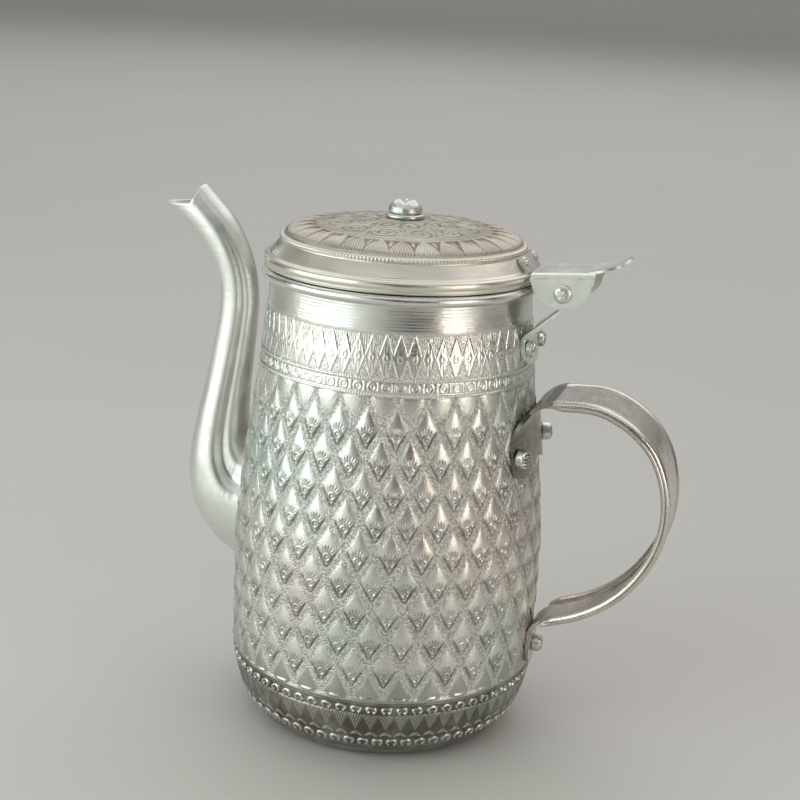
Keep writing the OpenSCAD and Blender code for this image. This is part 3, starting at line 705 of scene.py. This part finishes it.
def build_strap(line):
    """The strap between its two ends. Returns points and faces, and the darkening at each point: painted
    shade in its hems' creases.
    """
    t = np.linspace(0, len(STRAP) - 1, len(line))
    part = (t >= 3.0) & (t <= 21.0)
    p, n = line[part], line_normals(line)[part]
    swells = np.interp(t[part], [3.2, 4.6, 20.2, 21.0], [0, 1, 1, 0.25])
    sections = np.stack([strap_section(swell) for swell in swells])
    across, depth = np.abs(sections[..., 0]), sections[..., 1]
    # Both hems lean in a little towards the lower end.
    lean = (STRAP_TOP - p[:, 1]) * STRAP_LEAN
    # Painted shade in the creases of the two hems, over a faint even darkening.
    recess = (0.75 * near(np.abs(across - 12.7), 0.45) + 0.8 * near(depth - 2.0, 0.25) * (across > 16)
              + 0.8 * near(across - 11.4, 0.35) * (depth > 1.5) + 0.12)
    sections[..., 0] -= np.sign(sections[..., 0]) * lean[:, None] * np.clip(across / 11.0, 0, 1)
    return sweep(p, n, sections), recess


def build_saddle(line):
    """The plate that wraps the pot and flattens into the strap."""
    half = smooth_line(PLATE_HALF, 6)
    corner = 6 * 5  # where the lower edge turns into the side
    low_y, low_z = half[: corner + 1].T
    side_y, side_z = half[corner:].T
    u = np.linspace(-1, 1, 41)
    rows = []
    for k in np.linspace(0, 1, 22):
        y_edge = np.interp(k, np.linspace(0, 1, len(side_y)), side_y)
        z_edge = np.interp(k, np.linspace(0, 1, len(side_z)), side_z)
        z_low = np.interp(np.abs(u) * low_y[-1], low_y, low_z)
        y, z = u * y_edge, z_edge + (z_low - low_z[-1]) * (1 - k)
        flat = ramp(z_edge, 135.5, 143.5)
        x_round = np.sqrt((pot_r(np.clip(z, 0, 150)) + ON_WALL) ** 2 - y**2)
        x_flat = np.interp(z_edge, line[:25, 1], line[:25, 0]) + 0.8
        rows.append(points_of(x_round * (1 - flat) + x_flat * flat, y, z))
    for i in range(10, 33, 2):
        x, z = line[i] - line_normals(line)[i] * 0.8
        if x >= 62 or z > rows[-1][0, 2] + 0.3:
            rows.append(points_of(x, u * 16.9, z))
    return sheet(rows, 1.6)


def build_tab(line):
    """The strap's narrow end, which turns down on to the pot."""
    u = np.linspace(-1, 1, 17)
    rows = []
    for i in range(8 * 19, len(line)):
        x, z = line[i] - line_normals(line)[i] * 0.8
        wrap = ramp(-z, -50, -44)
        y = u * (8.0 - 0.6 * wrap)
        x_round = np.sqrt((pot_r(z) + ON_WALL) ** 2 - y**2)
        rows.append(points_of(x * (1 - wrap) + x_round * wrap, y, z))
    for z, half in TAB:
        y = u * half
        rows.append(points_of(np.sqrt((pot_r(z) + ON_WALL) ** 2 - y**2), y, z + u**2 * 0.5))
    return sheet(rows, 1.5)


def build_handle():
    line = smooth_line(STRAP, 8)
    strap, strap_recess = build_strap(line)
    saddle, tab = build_saddle(line), build_tab(line)
    # The saddle plate is darkened all over as painted shadow, and the tab a little.
    plain = [np.full(len(saddle[0]), 1.0), np.full(len(tab[0]), 0.3)]
    paint = {"recess": np.concatenate([strap_recess.reshape(-1), *plain])}
    parts = [strap, saddle, tab]
    outward(make("handle_strap", parts, "pot", strap_metal, ["handle"], paint, bevel=0.4))


# ---- rivets and pin ----

HINGE = np.array([69.3, 192.3])  # the hinge's axis in the XZ plane
# Where the lever's flange lies on the lid's wall, with the directions up the wall and out of it.
LID_SEAT = np.array([53.8, 198.6])
LID_UP = np.array([-4.2, 5.8]) / np.hypot(4.2, 5.8)
LID_OUT = np.array([LID_UP[1], -LID_UP[0]])
# Angles from the handle's side and heights of the paired rivets, and the sizes of their heads.
PLATE_RIVET_AT, PLATE_RIVET = (19.5, 126), (3.85, 4.5, 1.2, 2.0)
BRACKET_RIVET_AT, BRACKET_RIVET = (9.8, 168.3), (3.35, 3.0, 1.2, 1.6)
LEVER_RIVET_AT, LEVER_RIVET = (8.5, 3.4), (2.1, 1.3, 0.8, 1.5)  # the height is up the lid's wall


def head(radius, height, crown, below, cols=64, seed=0.0, ridges=0.0):
    """A rivet's head over a short shank, along Z from its seat."""
    profile = rounded(
        [[0, -below], [radius * 0.5, -below], [radius * 0.5, 0], [radius * 0.97, 0], [radius, height * 0.12],
         [radius, height - crown], [radius * 0.86, height - crown * 0.35], [radius * 0.5, height - 0.02],
         [0, height]],
        [0, 0, 0, 0.2, 0.3, crown * 0.8, crown * 0.5, 0.8, 0],
    )

    def lift(phi, r, z):
        x, y = r * np.cos(phi), r * np.sin(phi)
        top = ramp(z, height - crown, height - crown * 0.3)
        wobble = 0.05 * np.sin(3 * phi + seed) + 0.04 * np.sin(5 * phi + 2.3 * seed)
        along = x * np.cos(seed) + y * np.sin(seed)
        lines = ridges * np.cos(2 * PI * along / 1.5 + 0.6 * np.sin(y * 1.7 + seed))
        dents = 0.3 * ridges * np.sin(x * 2.3 + seed) * np.sin(y * 2.9)
        return wobble * ramp(z, 0, 0.5) + (lines - ridges * 0.5) * top + dents * top

    pts, faces, h = revolve(even_between_poles(profile, 0.16), cols, lift)
    # Grime and painted shade in the grooves of the head.
    return pts, faces, np.clip(-h * 3.5, 0, 1)


def placed(pts, origin, axis, spin=0.0):
    """Turns points so that their Z is along axis and moves them to origin."""
    z = Vector(axis).normalized()
    turn = z.to_track_quat("Z", "Y").to_matrix().to_4x4() @ Matrix.Rotation(spin, 4, "Z")
    m = np.array(turn)[:3, :3]
    return pts @ m.T + np.asarray(origin, float)


def rivet(node, origin, axis, body, size, ridges, seed, clench=None):
    """A rivet that stands for node. clench is the depth, radius and height of its end inside the pot."""
    pts, faces, recess = head(*size, seed=seed, ridges=ridges)
    parts = [(placed(pts, origin, axis, seed), faces)]
    if clench:
        depth, radius, height = clench
        pts, faces, _ = head(radius, height, height * 0.7, 0.5, 32)
        back = -np.asarray(axis, float)
        parts.append((placed(pts, origin + back * depth, back), faces))
    make(f"{node}_head", parts, body, rivet_metal, [node], {"recess": recess})


def spoke(angle):
    """The level direction at an angle round the pot."""
    return np.array([np.cos(np.radians(angle)), np.sin(np.radians(angle)), 0.0])


def build_rivets():
    for side, s in (("left", 1), ("right", -1)):
        angle, z = PLATE_RIVET_AT
        out = spoke(s * angle)
        seat = out * (pot_r(z) + 1.9) + [0, 0, z]
        rivet(f"handle_rivet_{side}", seat, out, "pot", PLATE_RIVET, 0.30, 0.2 + s, (3.9, 3.4, 1.1))
        angle, z = BRACKET_RIVET_AT
        out = spoke(s * angle)
        seat = out * (pot_r(z) + 2.0) + [0, 0, z]
        rivet(f"bracket_rivet_{side}", seat, out, "pot", BRACKET_RIVET, 0.2, 1.1 + s, (3.7, 3.2, 1.0))
        angle, up = LEVER_RIVET_AT
        r, z = LID_SEAT + LID_UP * up + LID_OUT * 1.6
        out = spoke(s * angle)
        seat, out = out * r + [0, 0, z], out * LID_OUT[0] + [0, 0, LID_OUT[1]]
        rivet(f"lever_rivet_{side}", seat, out, "lid", LEVER_RIVET, 0.12, 2 + s)
    rivet("handle_rivet_lower", np.array([66.7, 0, 38.9]), (1, 0, 0), "pot", (3.6, 4.1, 2.1, 1.5), 0.12, 0.4,
          (3.6, 3.3, 1.1))


def build_pin():
    parts = []
    for s in (-1, 1):
        pts, faces, _ = head(3.75, 1.9, 1.6, 1.5, seed=0.3 + s)
        parts.append((placed(pts, (HINGE[0], s * 14.15, HINGE[1]), (0, s, 0)), faces))
    cols = 40
    ring = HINGE + 1.8 * directions(np.arange(cols) / cols * 2 * PI)
    ends = (-14.3, -5, 5, 14.3)
    bar = np.stack([points_of(ring[:, 0], y, ring[:, 1]) for y in ends])
    j = np.arange(cols)
    caps = [j[None], (j + (len(ends) - 1) * cols)[::-1][None]]
    parts.append((bar, [grid_faces(len(ends), cols, wrap_cols=True)] + caps))
    outward(make("hinge_pin_bar", parts, "pot", rivet_metal, ["hinge_pin"]))


# ---- hinge bracket ----

SLOPE = np.radians(42)
ARM_FOOT = np.array([55.4, 173.9])
ARM_DIR = np.array([np.cos(SLOPE), np.sin(SLOPE)])
ARM_OUT = np.array([np.sin(SLOPE), -np.cos(SLOPE)])


def arm_point(along, out):
    """A point by the bracket's arm: along it from its foot, and out of its inner face."""
    return ARM_FOOT + ARM_DIR * along + ARM_OUT * out


def build_bracket():
    bend = ARM_FOOT + [1.15, -1.6]
    corners = [[57.5, 160.9], [57.05, 168], bend, arm_point(3, 0.95), arm_point(22.2, 0.95)]
    u = np.linspace(-1, 1, 25)
    rows = []
    for x, z in even(rounded(corners, [0, 1, 1.2, 2, 0], 6), 0.9):
        curved = 1 - ramp(z, 170.5, 176)
        y = u * np.interp(z, [160.8, 161.6, 164, 167.5, 170, 175, 190], [7.2, 9.6, 12.2, 13.3, 13.2, 12, 12])
        x_round = np.sqrt((pot_r(min(z, 176)) + 1.05) ** 2 - y**2)
        rows.append(points_of(x_round * curved + x * (1 - curved), y, z))
    arc = HINGE + 5.3 * directions(np.radians(np.arange(-18, 193, 8)))
    ear = np.vstack([arc, arm_point(17, 0.5), arm_point(18, 1.2), arm_point(22.2, 1.2)])
    parts = [sheet(rows, 1.75), plate(ear, 10.4, 11.95), plate(ear, -11.95, -10.4)]
    stands_for = ["hinge_bracket"]
    outward(make("hinge_bracket_sheet", parts, "pot", hinge_metal, stands_for, bevel=0.35))


# ---- lever ----

TILT = np.radians(5.5)
PLATE_DIR = np.array([np.cos(TILT), np.sin(TILT)])
PLATE_UP = np.array([-np.sin(TILT), np.cos(TILT)])
PLATE_OUT = np.array([81.2, 201.5])
EAR_MID, EAR_R = np.array([68.6, 198.5]), 12.4
LEVER_HALF = 14
# Stations of the thumb leaf: x, z and half width.
LEAF = [
    (78.6, 200.35, 11.0), (80.4, 200.75, 11.2), (82, 201.3, 11.4), (84, 202.0, 11.6), (86, 202.75, 11.6),
    (88, 203.45, 11.1), (89.6, 204.1, 10.2), (90.9, 204.8, 8.8), (91.9, 205.6, 7.0), (92.6, 206.4, 4.8),
    (92.9, 206.8, 2.4),
]


def build_channel():
    """A folded sheet whose sides run down as round ears."""
    rows, bend, thickness = [], 2.0, 1.5
    half = LEVER_HALF - thickness / 2
    arc = np.linspace(0, PI / 2, 7)[1:]
    flat = np.linspace(-half + bend, 0, 7)[1:]
    for s in np.concatenate([np.linspace(-25.2, -1, 61), [-0.45, -0.1, 0]]):
        x, top = PLATE_OUT + PLATE_DIR * s - PLATE_UP * thickness / 2
        low = top - bend - 0.2
        dx = x - EAR_MID[0]
        if abs(dx) < EAR_R:
            low = min(EAR_MID[1] - np.sqrt(EAR_R**2 - dx**2), low)
        if s > -1.2:
            low = max(low, top - bend - 0.2 - 2.6 * np.sqrt(max(-s, 0) / 1.2))
        down = np.linspace(low, top - bend, 16)
        y = np.concatenate([np.full(16, -half), -half + bend - bend * np.cos(arc), flat])
        z = np.concatenate([down, top - bend + bend * np.sin(arc), np.full(6, top)])
        y, z = np.concatenate([y, -y[:-1][::-1]]), np.concatenate([z, z[:-1][::-1]])
        rows.append(points_of(x, y, z))
    return sheet(rows, thickness)


def build_leaf():
    """The dished thumb leaf, with a rounded end that turns up."""
    rows = []
    for x, z, half in LEAF:
        y = np.linspace(-1, 1, 23) * half
        rows.append(points_of(x - 0.3 * (y / 12) ** 2, y, z + 0.8 * (y / 12) ** 2 - 0.25))
    return sheet(rows, 1.1)


def build_flange():
    """The flange turned up against the lid's wall."""
    rows = []
    for k in np.linspace(-1.2, 6.2, 12):
        r, z = LID_SEAT + LID_UP * k + LID_OUT * 0.9
        y = np.linspace(-1, 1, 25) * 11 * (1 - 0.16 * ramp(k, 3.6, 6.2) ** 2)
        rows.append(points_of(np.sqrt(r**2 - y**2), y, z))
    return sheet(rows, 1.5)


def build_lever():
    parts = [build_channel(), build_leaf(), build_flange()]
    outward(make("lid_lever_sheet", parts, "lid", hinge_metal, ["lid_lever"], bevel=0.35))


# ---- lid and knob ----

ARCHES, PITS, SHOULDER_BEADS = 30, 60, 216  # repeats round the lid
ARCH_R, ARCH_HEIGHT = 48.0, 12.2  # where the arches start, and their length towards the middle
KNOB_Z = 213.95  # top of the lid, under the washer


def arch_ring(phi, r):
    """Hatched pointed arches round the edge, with a small leaf between each two. Returns height, and grime
    and painted shade.
    """
    pitch = 2 * PI * r / ARCHES
    u = (phi + 0.04) * ARCHES / (2 * PI)
    k = np.round(u)
    from_mid = np.abs(u - k)
    x, y = (u - k) * pitch, ARCH_R - r
    climb = y / ARCH_HEIGHT
    half = 0.5 * (1 - np.clip(climb, 0, 1) ** 1.6)
    ring = (climb > 0) * ramp(1.0 - climb, -0.02, 0.05)
    inside = ramp(half - from_mid, -0.004, 0.02) * (climb > 0)
    # Every second arch is hatched the other way, and every fifth is hatched both ways.
    lean = np.where(np.mod(k, 2) < 0.5, 1.0, -1.0)
    strokes = np.cos(2 * PI * (x * 0.96 + lean * y * 0.28) / 1.05)
    cross_strokes = np.cos(2 * PI * (x * 0.55 - lean * y * 0.84) / 1.05)
    hatch = np.where(np.mod(k, 5) < 0.5, 0.5 * (strokes + cross_strokes), strokes)
    outline = near((half - from_mid) * pitch, 0.26)
    leaf = near((from_mid - 0.5) * pitch, 0.55) * ramp(y, 4.5, 6.0) * ramp(11.5 - y, 0, 2.5)
    h = inside * (0.04 + 0.19 * hatch) + 0.17 * outline + (1 - inside) * (-0.20 + 0.20 * leaf)
    # Grime and painted shade in the hatching's furrows and between the arches, less on the leaves.
    grime_and_shade = inside * 0.85 * ramp(-hatch, 0.1, 0.9) + (1 - inside) * (0.90 - 0.65 * leaf)
    return h * ring, grime_and_shade * ring


def scroll_ring(phi, r, count, mid, size, turn, start):
    """A ring of running scrolls with a veined leaf between each two. Returns height, and grime and painted
    shade.
    """
    u = (phi - start) * count / (2 * PI)
    pitch = 2 * PI * mid / count
    x, y = (u - np.round(u)) * pitch * turn, r - mid
    rho = np.hypot(x, y)
    arm = np.cos(np.arctan2(y, x) - rho * 2.1)
    scroll = ramp(size + 0.8 - rho, 0, 1.2)
    x = (u - np.floor(u) - 0.5) * pitch
    veins = np.cos(np.arctan2(x, np.abs(y)) * 9) * ramp(np.hypot(x, y), 0.6, 1.4)
    leaf = ramp(size - np.hypot(x * 2.0, y), 0, 1.0) * (1 - scroll)
    h = scroll * (0.27 * ramp(arm, 0.1, 0.8) - 0.10) + leaf * (0.07 + 0.14 * veins)
    grime_and_shade = scroll * 0.95 * ramp(-arm, 0.2, 0.9) + leaf * 0.9 * ramp(-veins, 0, 1)
    return h, grime_and_shade


def lid_relief(phi, r, z):
    """The pressed decoration of the lid's dome: height, stipple, and grime and painted shade."""
    dome = (z > 205.9) & (r < 48.6)
    h, grime_and_shade = arch_ring(phi, r)
    # A ring of pits between two lines.
    h = h + 0.14 * near(r - 35.3, 0.3) + 0.12 * near(r - 32.2, 0.3)
    u = phi * PITS / (2 * PI)
    pit = near(np.hypot((u - np.round(u)) * 2 * PI * 33.8 / PITS, r - 33.8), 0.75)
    h, grime_and_shade = h - 0.22 * pit, grime_and_shade + pit
    for ring in ((12, 25.8, 5.6, 1, 0.0), (9, 15.2, 4.6, -1, 0.3)):
        scrolls, darkening = scroll_ring(phi, r, *ring)
        h, grime_and_shade = h + scrolls, grime_and_shade + darkening
    h = h + 0.13 * (near(r - 20.3, 0.3) + near(r - 10.2, 0.35))
    # Petals under the knob's washer.
    h = h + 0.12 * ramp(10.0 - r, 0, 0.5) * np.abs(np.cos(8 * phi))
    # Fine beads round the shoulder.
    edge = near(np.hypot(r - 50.15, z - 205.3), 1.05)
    wave = np.cos(SHOULDER_BEADS * phi)
    h = dome * h + edge * (0.16 * wave - 0.02)
    grime_and_shade = dome * grime_and_shade + 0.25 * edge * ramp(-wave, 0, 1)
    grime_and_shade = np.maximum(grime_and_shade, dome * np.where(r < ARCH_R - ARCH_HEIGHT, 0.50, 0.27))
    return h, dome * 0.25, np.clip(grime_and_shade, 0, 1)


def build_lid():
    outer = rounded(
        [[0, 213.9], [8, 213.85], [15, 212.9], [25, 211.7], [34, 210.6], [38, 210.2], [42, 209.6],
         [45, 208.9], [47.2, 207.9], [48.15, 206.6], [48.5, 205.95], [49.2, 206.05], [50.05, 205.8],
         [50.35, 205.1], [50.0, 204.3], [49.7, 203.9], [51.7, 201.4], [53.75, 198.7], [54.3, 198.35],
         [55.3, 198.3], [56.15, 197.7], [56.5, 196.6], [56.35, 195.5], [55.95, 195.0], [56.05, 194.3],
         [55.9, 193.5], [55.5, 193.2]],
        [0, 3, 4, 4, 3, 2, 2, 1.5, 1.2, 0.5, 0.3, 0.4, 0.5, 0.5, 0.4, 0.3, 1, 0.4, 0.4, 0.6, 0.7, 0.7,
         0.4, 0.3, 0.3, 0.3, 0],
    )
    inner = rounded(
        [[54.4, 193.2], [54.2, 196.4], [53.2, 197.0], [52.7, 197.9], [48.3, 204], [47.1, 204.8], [46, 206.2],
         [42, 207.9], [34, 209], [25, 210.4], [15, 211.7], [8, 212.5], [0, 212.7]],
        1.0, 3,
    )
    decorated = slice(len(inner) - 1, None)
    paint = {}

    def lift(phi, r, z):
        h, stip, grime_and_shade = np.zeros((3, *z.shape))
        h[decorated], stip[decorated], grime_and_shade[decorated] = lid_relief(phi, r[decorated], z[decorated])
        # Grime and painted shade in the hollows.
        grime_and_shade[decorated] = np.maximum(grime_and_shade[decorated], np.clip(-h[decorated] * 1.6 - 0.05, 0, 1))
        paint["recess"], paint["stipple"] = grime_and_shade, stip
        return h

    profile = np.vstack([inner[::-1], even(outer[::-1], FINE_STEP)])
    pts, faces, _ = revolve(profile, 1080, lift)
    make("lid_dome", [(pts, faces)], "lid", lid_metal, ["lid"], paint)


def build_knob():
    washer = rounded(
        [[0, 0], [7.6, 0], [8, 0.3], [8.05, 1.0], [7.6, 1.6], [6.5, 1.72], [0, 1.72]],
        [0, 0.3, 0.3, 0.4, 0.4, 0.5, 0],
    )
    washer = even_between_poles(washer, 0.2) + [0, KNOB_Z]
    pts, faces, _ = revolve(washer, 96, lambda phi, r, z: 0.05 * np.sin(5 * phi) * ramp(r, 5, 8))
    make("knob_washer_disc", [(pts, faces)], "lid", rivet_metal, ["knob_washer"])
    seat = KNOB_Z + 1.75
    knob = rounded(
        [[0, -5.2], [3.2, -5.2], [3.4, -3.2], [2, -3.1], [2, 0], [6.3, 0], [6.9, 0.5], [6.9, 1.4], [6.5, 2.7],
         [5.6, 4.0], [4.5, 4.75], [3.5, 4.9], [2.4, 4.55], [0, 4.6]],
        [0, 0.2, 0.2, 0, 0, 0.3, 0.3, 0.6, 1, 1, 0.6, 0.5, 0.6, 0],
    )

    def lift(phi, r, z):
        petals = 0.34 * np.cos(7 * phi) * near(r - 3.4, 1.5) + 0.1 * np.cos(3 * phi + 1) * near(r - 1.5, 1.2)
        return ramp(z - seat, 2.8, 4.6) * petals + 0.04 * np.sin(4 * phi)

    pts, faces, h = revolve(even_between_poles(knob, 0.16) + [0, seat], 120, lift)
    # Grime and painted shade between the petals.
    paint = {"recess": np.clip(-h * 2, 0, 1)}
    make("knob_button", [(pts, faces)], "lid", rivet_metal, ["knob"], paint)


build_pot()
build_spout()
build_handle()
build_rivets()
build_pin()
build_bracket()
build_lever()
build_lid()
build_knob()

# ---- floor, light and camera ----


def floor_material():
    """A pale matt floor with very faint clouds."""
    m, node = new_material("studio_floor")
    clouds = node("ShaderNodeTexNoise", {"Scale": 3.0, "Vector": node("ShaderNodeTexCoord", {}, "Object")})
    tints = {0: clouds, 6: (0.60, 0.59, 0.57), 7: (0.64, 0.63, 0.61)}
    tint = node("ShaderNodeMix", tints, 2, data_type="RGBA")
    surface = node("ShaderNodeBsdfPrincipled", {"Base Color": tint, "Roughness": 0.55})
    node("ShaderNodeOutputMaterial", {0: surface})
    return m


def build_floor():
    """A wide floor, in metres, whose far end turns up a little so that it fills the picture."""
    half, near_y, bend_y, far_y, far_z = 60, -40, 45, 95, 4.5
    points = [(-half, near_y, 0), (half, near_y, 0), (half, bend_y, 0), (-half, bend_y, 0),
              (half, far_y, far_z), (-half, far_y, far_z)]
    mesh = bpy.data.meshes.new("floor")
    mesh.from_pydata(points, [], [(0, 1, 2, 3), (3, 2, 4, 5)])
    mesh.materials.append(floor_material())
    floor = bpy.data.objects.new("floor", mesh)
    floor.location.z = -0.0001
    bpy.context.collection.objects.link(floor)


def soft_box(name, place, target, size, power, colour):
    """A soft rectangular light at place, turned towards target. Metres and watts."""
    light = bpy.data.lights.new(name, "AREA")
    light.shape = "RECTANGLE"
    light.size, light.size_y = size
    light.energy = power
    light.color = colour
    o = bpy.data.objects.new(name, light)
    o.location = place
    o.rotation_euler = (Vector(target) - Vector(place)).to_track_quat("-Z", "Y").to_euler()
    bpy.context.collection.objects.link(o)


build_floor()
soft_box("key", (-0.85, -0.72, 0.40), (0, 0, 0.12), (1.2, 0.76), 7.2, (0.90, 1.0, 0.94))
soft_box("fill", (1.05, -0.50, 0.36), (0, 0, 0.12), (0.5, 0.7), 3.2, (1.0, 0.91, 0.80))
soft_box("front", (0.0, -1.35, 1.95), (0, 0, 0.15), (3.2, 1.0), 8.5, (0.98, 1.0, 0.94))
soft_box("low", (-0.16, -1.05, 0.16), (0.02, 0, 0.16), (0.55, 0.36), 0.36, (0.93, 1.0, 0.95))
soft_box("ceiling", (0.0, 2.4, 3.2), (0.0, 2.4, 0), (7, 6), 125, (1.0, 0.98, 0.955))
soft_box("far", (0.0, 54.0, 8.0), (0.0, 54.0, 0), (76, 100), 6400, (1.0, 0.99, 0.97))

world = bpy.data.worlds.new("studio")
bpy.context.scene.world = world
world.use_nodes = True
background = world.node_tree.nodes["Background"]
background.inputs["Color"].default_value = (0.10, 0.10, 0.10, 1)
background.inputs["Strength"].default_value = 0.7

# The photograph's view, in metres and degrees: azimuth, then turned aside, down and about the view.
CAMERA_AT = (0.1704, -0.5753, 0.307)
az, pan, tilt, roll = np.radians([16.5, 0.19, 15.82, 3.13])
camera = bpy.data.objects.new("camera", bpy.data.cameras.new("camera"))
bpy.context.collection.objects.link(camera)
camera.data.sensor_width = 36
camera.data.lens = 67.05
side = Vector((np.cos(az), np.sin(az), 0))
level = Vector((-np.sin(az), np.cos(az), 0))
ahead = (side * np.sin(pan) + level * np.cos(pan)) * np.cos(tilt) + Vector((0, 0, -np.sin(tilt)))
right = side * np.cos(pan) - level * np.sin(pan)
up = right.cross(ahead)
x_axis = right * np.cos(roll) + up * np.sin(roll)
y_axis = up * np.cos(roll) - right * np.sin(roll)
turn = Matrix((x_axis, y_axis, -ahead)).transposed()
camera.matrix_world = Matrix.Translation(CAMERA_AT) @ turn.to_4x4()
bpy.context.scene.camera = camera
bpy.context.scene.view_settings.view_transform = "Standard"
